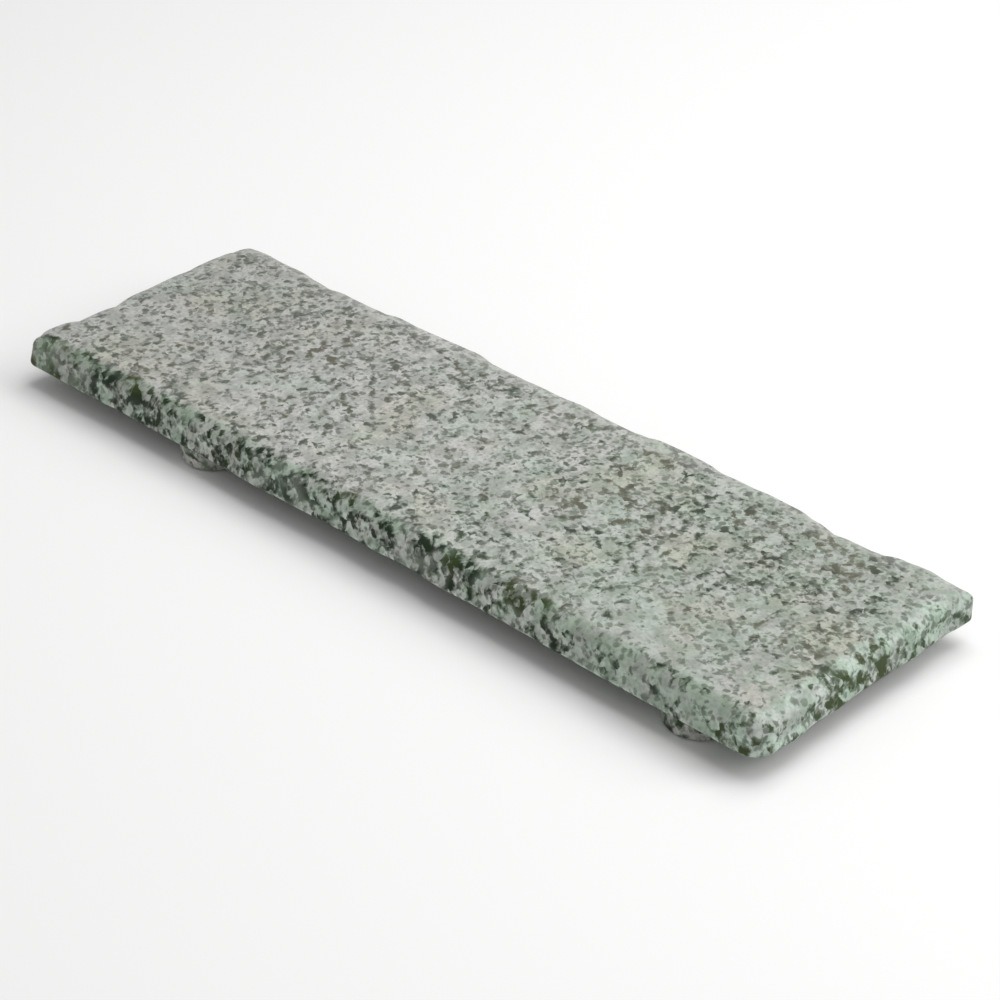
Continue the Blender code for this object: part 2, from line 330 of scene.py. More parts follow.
class TraySkinSizes(bpy.types.PropertyGroup):
    """Sizes of the hewn relief on the slab's edges."""

    relief_depth: length_setting(
        "Relief depth", "Deepest dent that the hewn relief makes in a side wall", 0.0009,
    )
    relief_length: length_setting("Relief length", "Distance between dents along a side", 0.021)
    relief_height: length_setting("Relief height", "Distance between dents up a side wall", 0.013)


class FootSizes(bpy.types.PropertyGroup):
    """Sizes of the feet and pads, and the pads' colours."""

    edge_radius: length_setting("Foot edge radius", "Rounding of a foot's lower edge", 0.0011)
    spigot_diameter: length_setting(
        "Spigot diameter", "Diameter of the spigot in the slab's bore", 0.014,
    )
    groove_depth: length_setting("Pad groove depth", "Depth of the ring grooves under a pad", 0.0004)
    groove_count: IntProperty(
        name="Pad grooves", description="Number of ring grooves under a pad", default=4, min=1,
    )
    pad_colour: colour_setting("Pad colour", "Silicone of the pads", (0.030, 0.031, 0.030))
    pad_dust: colour_setting("Pad dust", "Dust on the pads", (0.085, 0.088, 0.082))


class GraniteFinish(bpy.types.PropertyGroup):
    """Colours and sizes of the speckled finish."""

    warm_ground: colour_setting("Warm ground", "Light ground where it is warm", (0.544, 0.545, 0.524))
    cool_ground: colour_setting("Cool ground", "Light ground where it is cool", (0.508, 0.546, 0.503))
    beige_ground: colour_setting("Beige ground", "Beige patches in the ground", (0.538, 0.526, 0.434))
    # The walls' ground is their own greener tint, lightened beyond the top's as painted light on the
    # shaded walls.
    wall_ground_with_painted_light: colour_setting("Wall ground", "Light ground on the side walls", (0.688, 0.766, 0.684))
    middle: colour_setting("Middle grain", "Soft grey specks", (0.197, 0.207, 0.184))
    green_middle: colour_setting(
        "Green middle grain", "Soft specks on top, to the right", (0.181, 0.209, 0.164),
    )
    wall_middle: colour_setting(
        "Middle grain on walls", "Soft specks on the side walls", (0.165, 0.200, 0.152),
    )
    # On top the dark and olive grains are lighter than on the walls: partly their own colour, partly a
    # painted sheen over the serving face.
    top_dark: colour_setting(
        "Dark grain on top", "Dark specks on the serving face", (0.098, 0.112, 0.090),
    )
    top_olive: colour_setting(
        "Olive grain on top", "Brownish specks on the serving face", (0.122, 0.118, 0.086),
    )
    dark: colour_setting("Dark grain", "Dark specks on walls and to the right", (0.012, 0.026, 0.010))
    end_dark: colour_setting(
        "Dark grain at the right end", "Dark specks on that wall", (0.036, 0.066, 0.026),
    )
    # The right end's ground is its own mint tint, lightened as painted light, but less than the other
    # walls', as the key light falls on it.
    end_ground_with_painted_light: colour_setting(
        "Ground at the right end", "Light ground on that wall", (0.612, 0.718, 0.642),
    )
    grey_cast: colour_setting("Grey cast", "Multiplied in, here and there", (1.0, 0.94, 0.98))
    green_cast: colour_setting("Green cast", "Multiplied in elsewhere", (0.90, 0.98, 0.92))
    # The feet's ground is their own grey-brown, lightened as painted light against the tray's shadow
    # on them.
    foot_ground_with_painted_light: colour_setting("Foot ground", "Grey ground on the feet", (0.600, 0.580, 0.562))
    olive: colour_setting("Olive grain", "Olive green specks on the walls", (0.040, 0.058, 0.015))
    blotch_size: length_setting("Blotch size", "Usual distance between blotches", 0.0052)
    grain_size: length_setting("Grain size", "Usual distance between the soft grey specks", 0.0036)
    crowd_size: length_setting(
        "Crowd size", "Distance between places where the specks crowd together", 0.022,
    )
    wall_crowding: FloatProperty(
        name="Crowding on walls", description="How much closer the dark specks lie on the side walls",
        default=0.114,
    )
    foot_crowding: FloatProperty(
        name="Crowding on feet", description="How much closer the dark specks lie on the feet",
        default=0.082,
    )
    grain_turn: FloatVectorProperty(
        name="Grain turn", description="How far the speckle is turned against the tray's sides",
        default=(0.55, 0.75, 0.35), size=3, subtype="EULER",
    )
    wall_stretch: FloatProperty(
        name="Stretch on walls", description="How much taller the specks are on the side walls",
        default=1.1, min=0.1,
    )
    roughness: FloatProperty(
        name="Roughness", description="Roughness of the satin surface",
        default=0.46, min=0.0, max=1.0,
    )


class StudioSettings(bpy.types.PropertyGroup):
    """The camera, the lights and the floor."""

    lens: FloatProperty(
        name="Focal length", description="Focal length of the camera on a 36 mm sensor",
        default=110.1, min=1.0,
    )
    distance: FloatProperty(
        name="Camera distance", description="Distance from the camera to the point that it aims at",
        default=1.5873, unit="LENGTH",
    )
    heading: FloatProperty(
        name="Camera heading", description="Direction of view seen from above, from +X",
        default=math.radians(133.686), subtype="ANGLE",
    )
    tilt: FloatProperty(
        name="Camera tilt", description="How far the camera looks down",
        default=math.radians(32.826), subtype="ANGLE",
    )
    aim: FloatVectorProperty(
        name="Camera aim", description="Point that the camera looks at",
        default=(0.0220, 0.0005, 0.0120), size=3, subtype="TRANSLATION", unit="LENGTH",
    )
    floor_colour: colour_setting("Floor colour", "Pale floor under the tray", (0.88, 0.88, 0.875))
    key_power: FloatProperty(
        name="Key light", description="Power of the light behind the tray on the right, in watts",
        default=17.0, min=0.0,
    )
    top_power: FloatProperty(
        name="Top light", description="Power of the broad light overhead, in watts",
        default=26.0, min=0.0,
    )
    sky_strength: FloatProperty(
        name="Sky", description="Strength of the even light from all round",
        default=0.42, min=0.0,
    )


def eased(share):
    """A share from 0 to 1, with a soft start and end."""
    return (1 - math.cos(math.pi * share)) / 2


def quarter_turn(steps, first=0):
    """Angles up to 90 degrees at even steps."""
    return [math.pi / 2 * step / steps for step in range(first, steps + 1)]


def wave_depth(wave, along):
    """How far a hewn edge is drawn in at a distance along its side, eased between its points."""
    place = along / millimetre
    if place <= wave[0][0]:
        return wave[0][1] * millimetre
    for (start, first), (end, second) in zip(wave, wave[1:]):
        if place <= end:
            share = eased((place - start) / (end - start))
            return (first + (second - first) * share) * millimetre
    return wave[-1][1] * millimetre


def hollow_at(along):
    """Depth of the shallow hollows that the side walls have between their edges."""
    long_wave = 0.5 - 0.5 * math.cos(2 * math.pi * along / long_hollow_length)
    short_wave = 0.5 - 0.5 * math.cos(2 * math.pi * along / short_hollow_length)
    short_share = 1 - long_hollow_share
    return hollow_depth * (long_hollow_share * long_wave + short_share * short_wave)


def calm_share(from_corner):
    """How much of the hollows and dents is left at a distance from a corner."""
    return eased(min(from_corner / calm_length, 1.0))


def edge_lines(rim_wave, shoulder_wave, along):
    """The rim's depth at one place, with the shoulder's depth, reach and crest height."""
    rim = wave_depth(rim_wave, along)
    drawn_in = wave_depth(shoulder_wave, along)
    free_share = 1 - shoulder_creep
    line = max(shoulder_inset + drawn_in, rim + smallest_shoulder_reach * free_share)
    reach = min(shoulder_reach, (line - rim) / free_share)
    drop = max(drawn_in - rim - crest_slack, 0.0) * crest_drop_share
    return rim, line + shoulder_creep * reach, reach, serving_face - drop


def slab_section(rim_wave, shoulder_wave, along, from_corner):
    """The outer skin's section at one place, as depths from the outermost line and heights."""
    rim, shoulder, reach, crest = edge_lines(rim_wave, shoulder_wave, along)
    shoulder_height = reach * shoulder_flatness
    section = []
    for angle in quarter_turn(rim_edge_steps):
        depth = rim + rim_edge_radius * (1 - math.sin(angle))
        section.append((depth, rim_plane + rim_edge_radius * (1 - math.cos(angle))))
    wall_bottom = rim_plane + rim_edge_radius
    wall_top = crest - shoulder_height
    wall_top_depth = shoulder - reach
    for step in range(1, wall_steps):
        share = step / wall_steps
        hollow = calm_share(from_corner) * hollow_at(along) * math.sin(math.pi * share)
        depth = rim + (wall_top_depth - rim) * share + hollow
        section.append((depth, wall_bottom + (wall_top - wall_bottom) * share))
    for angle in quarter_turn(shoulder_steps):
        depth = shoulder - reach * math.cos(angle)
        section.append((depth, wall_top + shoulder_height * math.sin(angle)))
    for step in range(1, margin_steps + 1):
        share = step / margin_steps
        height = crest + (serving_face - crest) * eased(share)
        section.append((shoulder + margin_width * share, height))
    return section


def core_section(rim_wave, shoulder_wave, along, _from_corner):
    """The hollow's section at one place, from below the rim up to the ceiling."""
    rim, shoulder, reach, _crest = edge_lines(rim_wave, shoulder_wave, along)
    ceiling = serving_face - serving_plate_thickness
    low_depth = rim + side_wall_thickness
    high_depth = shoulder - reach + side_wall_thickness + core_draft
    fillet_start = ceiling - ceiling_fillet_radius
    section = [(low_depth - mouth_round, rim_plane - core_overrun)]
    for angle in quarter_turn(mouth_steps):
        depth = low_depth - mouth_round * (1 - math.sin(angle))
        section.append((depth, rim_plane + mouth_round * (1 - math.cos(angle))))
    for angle in quarter_turn(fillet_steps):
        depth = high_depth + ceiling_fillet_radius * (1 - math.cos(angle))
        section.append((depth, fillet_start + ceiling_fillet_radius * math.sin(angle)))
    return section


def tray_sides():
    """The four sides in turn, anticlockwise from the front, seen from above."""
    return [
        Side((1, 0), (0, -1), tray_length, half_width, False,
             front_left_corner_radius, front_rim_wave, front_shoulder_wave),
        Side((0, 1), (1, 0), tray_width, half_length, False,
             front_right_corner_radius, right_rim_wave, right_shoulder_wave),
        Side((-1, 0), (0, 1), tray_length, half_width, True,
             rear_right_corner_radius, back_rim_wave, back_shoulder_wave),
        Side((0, -1), (-1, 0), tray_width, half_length, True,
             rear_left_corner_radius, left_rim_wave, left_shoulder_wave),
    ]


def side_sections(side, end_radius, section_at, spacing):
    """Sections at even steps along one side's straight stretch, from its start to its end."""
    stretch = side.length - side.corner_radius - end_radius
    steps = max(2, round(stretch / spacing))
    sections = []
    for step in range(steps + 1):
        place = side.corner_radius + stretch * step / steps
        along = side.length - place if side.counts_back else place
        from_corner = min(place, side.length - place)
        sections.append(section_at(side.rim_wave, side.shoulder_wave, along, from_corner))
    return sections


def slab_rings(section_at, spacing):
    """Rings of points round the slab, one for each point of the section."""
    sides = tray_sides()
    sections = [
        side_sections(side, sides[(number + 1) % 4].corner_radius, section_at, spacing)
        for number, side in enumerate(sides)
    ]
    nominal_section = section_at([(0, 0.0)], [(0, 0.0)], 0.0, 0.0)
    rings = []
    for level, (nominal, _) in enumerate(nominal_section):
        ring = []
        centres = [
            max(
                side.corner_radius,
                nominal + smallest_corner_radius,
                sections[number - 1][-1][level][0] + smallest_corner_radius,
                sections[number][0][level][0] + smallest_corner_radius,
            )
            for number, side in enumerate(sides)
        ]
        for number, side in enumerate(sides):
            following = (number + 1) % 4
            here = [section[level] for section in sections[number]]
            there = sections[following][0][level]
            ring += straight_points(side, here, centres[number], centres[following])
            ring += corner_points(side, sides[following], here[-1], there, centres[following])
        rings.append(ring)
    return rings


def straight_points(side, places, start, end):
    """Points along one side, each with its own depth and height."""
    points = []
    for number, (depth, height) in enumerate(places):
        share = number / (len(places) - 1)
        along = start + share * (side.length - start - end) - side.length / 2
        out = side.reach - depth
        points.append(Vector((
            side.run[0] * along + side.outward[0] * out,
            side.run[1] * along + side.outward[1] * out,
            height,
        )))
    return points


def corner_points(side, following, here, there, centre):
    """Points on a quarter of an ellipse round the corner after a side, into the next one."""
    centre_x = side.run[0] * (side.length / 2 - centre) + side.outward[0] * (side.reach - centre)
    centre_y = side.run[1] * (side.length / 2 - centre) + side.outward[1] * (side.reach - centre)
    points = []
    for step in range(1, corner_steps):
        share = step / corner_steps
        height = here[1] + (there[1] - here[1]) * share
        out = (centre - here[0]) * math.cos(math.pi / 2 * share)
        aside = (centre - there[0]) * math.sin(math.pi / 2 * share)
        points.append(Vector((
            centre_x + side.outward[0] * out + following.outward[0] * aside,
            centre_y + side.outward[1] * out + following.outward[1] * aside,
            height,
        )))
    return points


def ring_normals(rings, level):
    """The outward directions at the points of one ring, from the rings beside it."""
    ring = rings[level]
    below = rings[max(level - 1, 0)]
    above = rings[min(level + 1, len(rings) - 1)]
    count = len(ring)
    normals = []
    for place in range(count):
        ahead = ring[(place + 1) % count] - ring[place - 1]
        upward = above[place] - below[place]
        normals.append(ahead.cross(upward).normalized())
    return normals


def hewn_relief(rings, sizes):
    """The rings with soft dents cut into them, deepest halfway up the walls."""
    wall_levels = rim_edge_steps + wall_steps + shoulder_steps
    dented = []
    for level, level_ring in enumerate(rings):
        share = min(level / wall_levels, 1.0)
        strength = sizes.relief_depth * math.sin(math.pi * share)
        ring = []
        for point, outward in zip(level_ring, ring_normals(rings, level)):
            place = Vector((
                point.x / sizes.relief_length,
                point.y / sizes.relief_length,
                point.z / sizes.relief_height,
            ))
            broad = 0.5 + 0.5 * noise.noise(place)
            close = 0.5 + 0.5 * noise.noise(place * close_dent_scale)
            dent = broad_dent_share * broad + close_dent_share * close
            from_corner = max(half_length - abs(point.x), half_width - abs(point.y))
            ring.append(point - outward * (strength * calm_share(from_corner) * dent))
        dented.append(ring)
    return dented


def lofted_mesh(name, rings):
    """A closed mesh through rings of as many points each, flat at both ends."""
    shape = bmesh.new()
    levels = [[shape.verts.new(point) for point in ring] for ring in rings]
    count = len(rings[0])
    for lower, upper in zip(levels, levels[1:]):
        for place in range(count):
            after = (place + 1) % count
            shape.faces.new((lower[place], lower[after], upper[after], upper[place]))
    shape.faces.new(list(reversed(levels[0])))
    shape.faces.new(levels[-1])
    mesh = bpy.data.meshes.new(name)
    shape.to_mesh(mesh)
    shape.free()
    return mesh


def add_piece(name, mesh, material=None):
    """Put a mesh in the scene as an object."""
    piece = bpy.data.objects.new(name, mesh)
    bpy.context.scene.collection.objects.link(piece)
    if material:
        mesh.materials.append(material)
    return piece


def turned_piece(name, profile, material=None):
    """A turned piece, from a profile that runs down its outer side."""
    mesh = bpy.data.meshes.new(name)
    edges = [(place, place + 1) for place in range(len(profile) - 1)]
    mesh.from_pydata([(radius, 0.0, height) for radius, height in profile], edges, [])
    piece = add_piece(name, mesh, material)
    turn = piece.modifiers.new("turn", "SCREW")
    turn.axis = "Z"
    turn.angle = math.radians(360)
    turn.steps = turned_steps
    turn.render_steps = turned_steps
    turn.use_merge_vertices = True
    turn.merge_threshold = weld_distance
    turn.use_smooth_shade = True
    return piece


def cut_away(piece, cutter):
    """Cut one object with another."""
    cut = piece.modifiers.new("cut", "BOOLEAN")
    cut.object = cutter
    cut.operation = "DIFFERENCE"
    cut.solver = "EXACT"


def settle(piece):
    """Turn an object's modifiers into its own mesh, shaded smooth between its creases."""
    view = bpy.context.evaluated_depsgraph_get()
    mesh = bpy.data.meshes.new_from_object(piece.evaluated_get(view))
    piece.modifiers.clear()
    piece.data = mesh
    mesh.shade_smooth()
    mesh.set_sharp_from_angle(angle=crease_angle)


def dress(piece, slot, *nodes):
    """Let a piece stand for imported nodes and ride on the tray."""
    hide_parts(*nodes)
    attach(piece, body)


def stand_turned(node, slot, name, profile, material):
    """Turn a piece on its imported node's spot and dress it."""
    piece = turned_piece(name, profile, material)
    spot = spot_of(node)
    piece.location = (spot.x, spot.y, 0.0)
    bpy.context.view_layer.update()
    settle(piece)
    dress(piece, slot, node)


class NodeBench:
    """Adds shader nodes to a material and joins them up."""

    def __init__(self, name):
        self.material = bpy.data.materials.new(name)
        self.material.use_nodes = True
        self.tree = self.material.node_tree
        self.shader = self.tree.nodes["Principled BSDF"]

    def add(self, kind, inputs=None, **settings):
        """A new node with its settings and inputs."""
        node = self.tree.nodes.new(kind)
        for setting, value in settings.items():
            setattr(node, setting, value)
        self.feed(node, inputs or {})
        return node

    def feed(self, node, inputs):
        """Set a node's inputs to numbers or colours, or link other sockets to them."""
        for name, value in inputs.items():
            socket = node.inputs[name]
            if isinstance(value, bpy.types.NodeSocket):
                self.tree.links.new(value, socket)
            elif socket.type == "RGBA":
                socket.default_value = (*value, 1.0)
            else:
                socket.default_value = value

    def math(self, operation, first, second=0.0):
        """Arithmetic on two numbers."""
        return self.add("ShaderNodeMath", {0: first, 1: second}, operation=operation).outputs[0]

    def total(self, value, *weighed):
        """A number with others added to it in turn, each times its weight."""
        for other, weight in weighed:
            value = self.math("ADD", value, self.math("MULTIPLY", other, weight))
        return value

    def arrow_math(self, operation, first, second):
        """Arithmetic on two vectors."""
        node = self.add("ShaderNodeVectorMath", {0: first, 1: second}, operation=operation)
        return node.outputs[0]

    def askew(self, place, turn):
        """Places turned about the origin, so that no line of the noise follows a side."""
        inputs = {"Vector": place, "Rotation": turn}
        node = self.add("ShaderNodeVectorRotate", inputs, rotation_type="EULER_XYZ")
        return node.outputs["Vector"]

    def cloud(self, place, size, detail=2.0, roughness=0.5):
        """Soft noise whose blotches lie about one size apart."""
        inputs = {"Vector": place, "Scale": 1 / size, "Detail": detail, "Roughness": roughness}
        return self.add("ShaderNodeTexNoise", inputs, noise_dimensions="3D")

    def grains(self, place, size):
        """Cells of one size, each with its own random colour."""
        inputs = {"Vector": place, "Scale": 1 / size}
        return self.add("ShaderNodeTexVoronoi", inputs, voronoi_dimensions="3D", feature="F1")

    def ease(self, value, low, high, first=0.0, last=1.0):
        """A smooth rise from one value to another between two limits."""
        inputs = {
            "Value": value, "From Min": low, "From Max": high, "To Min": first, "To Max": last,
        }
        node = self.add("ShaderNodeMapRange", inputs, interpolation_type="SMOOTHSTEP")
        return node.outputs["Result"]

    def blend(self, share, first, second, kind="MIX"):
        """A mix of two colours, or a share of the second multiplied into the first."""
        node = self.add("ShaderNodeMix", data_type="RGBA", blend_type=kind)
        self.feed(node, {0: share, 6: first, 7: second})
        return node.outputs[2]

    def part(self, colour, channel):
        """One channel of a colour."""
        return self.add("ShaderNodeSeparateColor", {0: colour}).outputs[channel]

    def patch(self, place, middle, reach):
        """A soft patch: 1 at its middle, easing to 0 at its reach."""
        node = self.add("ShaderNodeVectorMath", {0: place, 1: middle}, operation="DISTANCE")
        return self.ease(node.outputs["Value"], reach, 0.0)

    def bump(self, height, depth):
        """Small relief in the surface, as deep as a length."""
        node = self.add("ShaderNodeBump", {"Strength": 1.0, "Distance": depth, "Height": height})
        self.feed(self.shader, {"Normal": node.outputs["Normal"]})


class GraniteBench(NodeBench):
    """Mixes the speckled finish from noises, and from where on the tray they lie."""

    def __init__(self, name, finish, offset):
        super().__init__(name)
        self.finish = finish
        self.surface = self.add("ShaderNodeTexCoord").outputs["Object"]
        self.find_areas()
        self.lay_noises(offset)

    def find_areas(self):
        """Tell walls, shoulders, edges, the right and the rear apart, by slope and place."""
        normal = self.add("ShaderNodeNewGeometry").outputs["Normal"]
        upward = self.part(normal, "Blue")
        self.away = self.math("SUBTRACT", self.part(normal, "Green"), self.part(normal, "Red"))
        self.wall = self.math(
            "MAXIMUM", self.ease(upward, *wall_slopes), self.ease(self.away, *near_edge_slopes),
        )
        self.rounded = self.math("MAXIMUM", self.math("MULTIPLY", self.wall, upward), 0.0)
        self.along = self.part(self.surface, "Red")
        self.across = self.part(self.surface, "Green")
        self.right = self.ease(self.along, *right_places)
        self.greener = self.ease(self.along, *greener_places)
        self.right_end = self.ease(self.along, *right_end_places)
        self.rear = self.ease(self.across, *rear_places)

    def lay_noises(self, offset):
        """Lay the noises that the specks, blotches, drifts and casts come from."""
        finish = self.finish
        moved = self.arrow_math("ADD", self.surface, offset)
        squeezed = self.arrow_math("MULTIPLY", moved, (1.0, 1.0, 1.0 / finish.wall_stretch))
        turned = self.askew(squeezed, finish.grain_turn)
        ripple = self.cloud(turned, finish.blotch_size).outputs["Color"]
        centred = self.arrow_math("SUBTRACT", ripple, (0.5, 0.5, 0.5))
        reach = ripple_share * finish.blotch_size
        swayed = self.arrow_math("MULTIPLY", centred, (reach, reach, reach))
        place = self.arrow_math("ADD", turned, swayed)
        apart = self.arrow_math("ADD", place, speck_shift)
        self.tint = self.cloud(turned, tint_size).outputs["Color"]
        self.drift = self.cloud(turned, drift_size).outputs["Fac"]
        self.leaf = self.cloud(turned, cast_size, 3.0).outputs["Fac"]
        self.crowds = self.cloud(turned, finish.crowd_size)
        self.blotch = self.cloud(place, finish.blotch_size, 2.5).outputs["Fac"]
        self.crystals = self.grains(place, finish.grain_size).outputs["Color"]
        self.specks = self.grains(apart, finish.grain_size * speck_share)
        self.mottle = self.cloud(apart, finish.grain_size * mottle_share).outputs["Fac"]

    def patches(self, table):
        """The soft patches of a table, each with its weight."""
        return [(self.patch(self.surface, spot, spread), weight) for spot, spread, weight in table]

    def ground_colour(self, side_ground, middle):
        """The light ground: warm, cool or beige on top, greener on walls, with painted light and soft
        painted shade.
        """
        finish = self.finish
        cool_drift = self.total(self.part(self.tint, "Green"), (self.greener, greener_in_cool))
        cool = self.ease(cool_drift, *cool_range)
        ground = self.blend(cool, finish.warm_ground, finish.cool_ground)
        beige = self.ease(self.part(self.tint, "Blue"), *beige_range)
        ground = self.blend(beige, ground, finish.beige_ground)
        # On the walls the ground turns to the side ground, which is lightened there as painted light.
        wall_share = self.math("MULTIPLY", self.wall, wall_ground_share)
        ground = self.blend(wall_share, ground, side_ground)
        # Darker towards both ends, and painted shade towards the rear and on the rounded shoulders,
        # least at the right end.
        near_ends = self.ease(self.math("ABSOLUTE", self.along), *near_ends_range)
        shoulders = self.ease(self.along, *right_end_places, *shoulders_in_shade)
        shade = self.total(near_ends, (self.rear, rear_in_shade), (self.rounded, shoulders))
        ground = self.blend(shade, ground, middle)
        ground = self.blend(self.ease(self.drift, *drift_range), ground, middle)
        return self.blend(self.ease(self.mottle, *mottle_range), ground, middle)

    def with_specks(self, ground, middle):
        """The ground with soft grey specks."""
        code = self.specks.outputs["Color"]
        speck = self.total(
            self.part(code, "Red"),
            (self.specks.outputs["Distance"], -1.0),
            (self.mottle, mottle_in_specks),
            (self.crowds.outputs["Fac"], crowd_in_specks),
            (self.right, right_in_specks),
            # More specks towards the rear, as painted shade.
            (self.rear, rear_in_specks),
        )
        tone = self.ease(self.part(code, "Green"), *speck_tone_range)
        grey = self.blend(tone, middle, self.finish.top_dark)
        return self.blend(self.ease(speck, *speck_range), ground, grey)

    def with_blotches(self, colour, middle, crowding):
        """A colour with dark and olive blotches, and half-dark borders round them."""
        finish = self.finish
        shoulders = self.ease(self.along, *right_end_places, *shoulders_in_blotches)
        deep = self.total(
            self.blotch,
            (self.crowds.outputs["Fac"], crowd_in_blotches),
            (self.part(self.crystals, "Red"), crystal_in_blotches),
            (self.wall, crowding),
            (self.rounded, shoulders),
            # More blotches towards the rear, as painted shade.
            (self.rear, rear_in_blotches),
            (self.right, right_in_blotches),
            *self.patches(crowded_patches),
        )
        olive_drift = self.total(self.part(self.tint, "Red"), *self.patches(olive_patches))
        olive = self.ease(olive_drift, *olive_range)
        right_share = self.math("MULTIPLY", self.right, right_dark_share)
        # The top's darks are lighter, partly a painted sheen; towards the right they turn to the
        # walls' dark.
        top_dark = self.blend(right_share, finish.top_dark, finish.dark)
        wall_dark = self.blend(self.right_end, finish.dark, finish.end_dark)
        darkest = self.blend(
            self.wall,
            self.blend(olive, top_dark, finish.top_olive),
            self.blend(olive, wall_dark, finish.olive),
        )
        half_dark = self.blend(half_dark_share, darkest, middle)
        colour = self.blend(self.ease(deep, *half_dark_range), colour, half_dark)
        return self.blend(self.ease(deep, *dark_range), colour, darkest)

    def with_edges(self, colour, side_ground, middle):
        """A colour with a painted sheen on its far edges, and a haze over parts of the walls."""
        # Painted sheen: off the walls, the far, rear-facing edges turn paler, towards the warm ground.
        far_edge = self.math(
            "MAXIMUM",
            self.ease(self.away, *far_edge_slopes), self.ease(self.across, *far_edge_places),
        )
        pale = self.math("MULTIPLY", self.math("SUBTRACT", far_edge, self.wall), painted_sheen_share)
        colour = self.blend(pale, colour, self.finish.warm_ground)
        haze = self.ease(self.part(self.crowds.outputs["Color"], "Green"), *haze_range)
        haze = self.math("MULTIPLY", haze, self.math("SUBTRACT", self.wall, self.right_end))
        return self.blend(haze, colour, self.blend(haze_middle_share, side_ground, middle))

    def with_cast(self, colour):
        """A colour with a cast that drifts between grey and green, fainter on top."""
        leaf = self.ease(self.leaf, *cast_range)
        cast = self.blend(leaf, self.finish.grey_cast, self.finish.green_cast)
        share = self.math("MAXIMUM", self.wall, self.ease(self.along, *top_cast_range))
        return self.blend(share, colour, cast, "MULTIPLY")


def granite_material(name, finish, wall_ground_with_painted_light, crowding, offset=(0.0, 0.0, 0.0)):
    """Speckled melamine: a light ground with soft grey, dark and olive grains."""
    bench = GraniteBench(name, finish, offset)
    # The side ground is lightened as painted light on shaded walls and feet, less at the right end.
    side_ground = bench.blend(bench.right_end, wall_ground_with_painted_light, finish.end_ground_with_painted_light)
    middle = bench.blend(bench.right, finish.middle, finish.green_middle)
    middle = bench.blend(bench.wall, middle, finish.wall_middle)
    colour = bench.with_specks(bench.ground_colour(side_ground, middle), middle)
    colour = bench.with_blotches(colour, middle, crowding)
    colour = bench.with_cast(bench.with_edges(colour, side_ground, middle))
    smooth, rough = finish.roughness - gloss_fall, finish.roughness + gloss_rise
    bench.feed(bench.shader, {
        "Base Color": colour,
        "Roughness": bench.ease(bench.mottle, *gloss_range, smooth, rough),
        "Metallic": 0.0,
        "IOR": melamine_ior,
        "Specular IOR Level": melamine_specular,
    })
    skin = bench.cloud(bench.surface, skin_size, 3.0).outputs["Fac"]
    bench.bump(bench.total(skin, (bench.blotch, blotch_relief)), skin_depth)
    return bench.material


def silicone_material(colour, dust_colour):
    """Dark, matt silicone with a trace of dust."""
    bench = NodeBench("pad_silicone")
    surface = bench.add("ShaderNodeTexCoord").outputs["Object"]
    dust = bench.cloud(surface, dust_size, 4.0, 0.6).outputs["Fac"]
    bench.feed(bench.shader, {
        "Base Color": bench.blend(bench.ease(dust, *dust_range), colour, dust_colour),
        "Roughness": bench.ease(dust, *dust_roughness_range),
    })
    bench.bump(bench.cloud(surface, silicone_grain_size).outputs["Fac"], silicone_grain_depth)
    return bench.material


def spot_of(node):
    """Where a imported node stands."""
    low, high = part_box(node)
    middle_x, middle_y = (low[0] + high[0]) / 2, (low[1] + high[1]) / 2
    return Spot(middle_x, middle_y, low[2], high[2], high[0] - low[0])


def boss_profile():
    """A round boss that flares into the ceiling, with its rim broken, as the core is holed."""
    radius = boss_diameter / 2
    flared = radius + boss_flare
    ceiling = serving_face - serving_plate_thickness
    profile = [(0.0, serving_face), (flared, serving_face), (flared, ceiling)]
    for angle in quarter_turn(fillet_steps, 1):
        profile.append((
            radius + boss_flare * (1 - math.sin(angle)),
            ceiling - boss_flare * (1 - math.cos(angle)),
        ))
    for angle in quarter_turn(mouth_steps):
        profile.append((
            radius - mouth_round * (1 - math.cos(angle)),
            rim_plane + mouth_round * (1 - math.sin(angle)),
        ))
    low = rim_plane - boss_overrun
    profile += [(radius - mouth_round, low), (0.0, low)]
    return profile


def bore_profile(spigot_diameter, spigot_top):
    """A blind bore with room for the glue round a spigot and above it."""
    radius = (spigot_diameter + bore_clearance) / 2
    top = spigot_top + bore_end_gap
    low = rim_plane - bore_overrun
    return [(0.0, top), (radius, top), (radius, low), (0.0, low)]


def foot_profile(sizes, spot):
    """A flared disc with a spigot on top and a shallow recess underneath."""
    spigot = sizes.spigot_diameter / 2
    top = spot.width / 2
    bottom = top - foot_taper
    foot_top = rim_plane - foot_top_gap
    recess_top = spot.low + recess_depth
    broken = foot_chamfer * broken_edge_share
    profile = [
        (0.0, spot.high), (spigot - foot_chamfer, spot.high), (spigot, spot.high - foot_chamfer),
        (spigot, foot_top), (top - foot_chamfer, foot_top), (top - broken, foot_top - broken),
        (top, foot_top - foot_chamfer),
    ]
    for angle in quarter_turn(foot_edge_steps):
        profile.append((
            bottom - sizes.edge_radius * (1 - math.cos(angle)),
            spot.low + sizes.edge_radius * (1 - math.sin(angle)),
        ))
    profile += [
        (recess_radius + recess_edge, spot.low), (recess_radius, spot.low + recess_edge),
        (recess_radius, recess_top), (0.0, recess_top),
    ]
    return profile


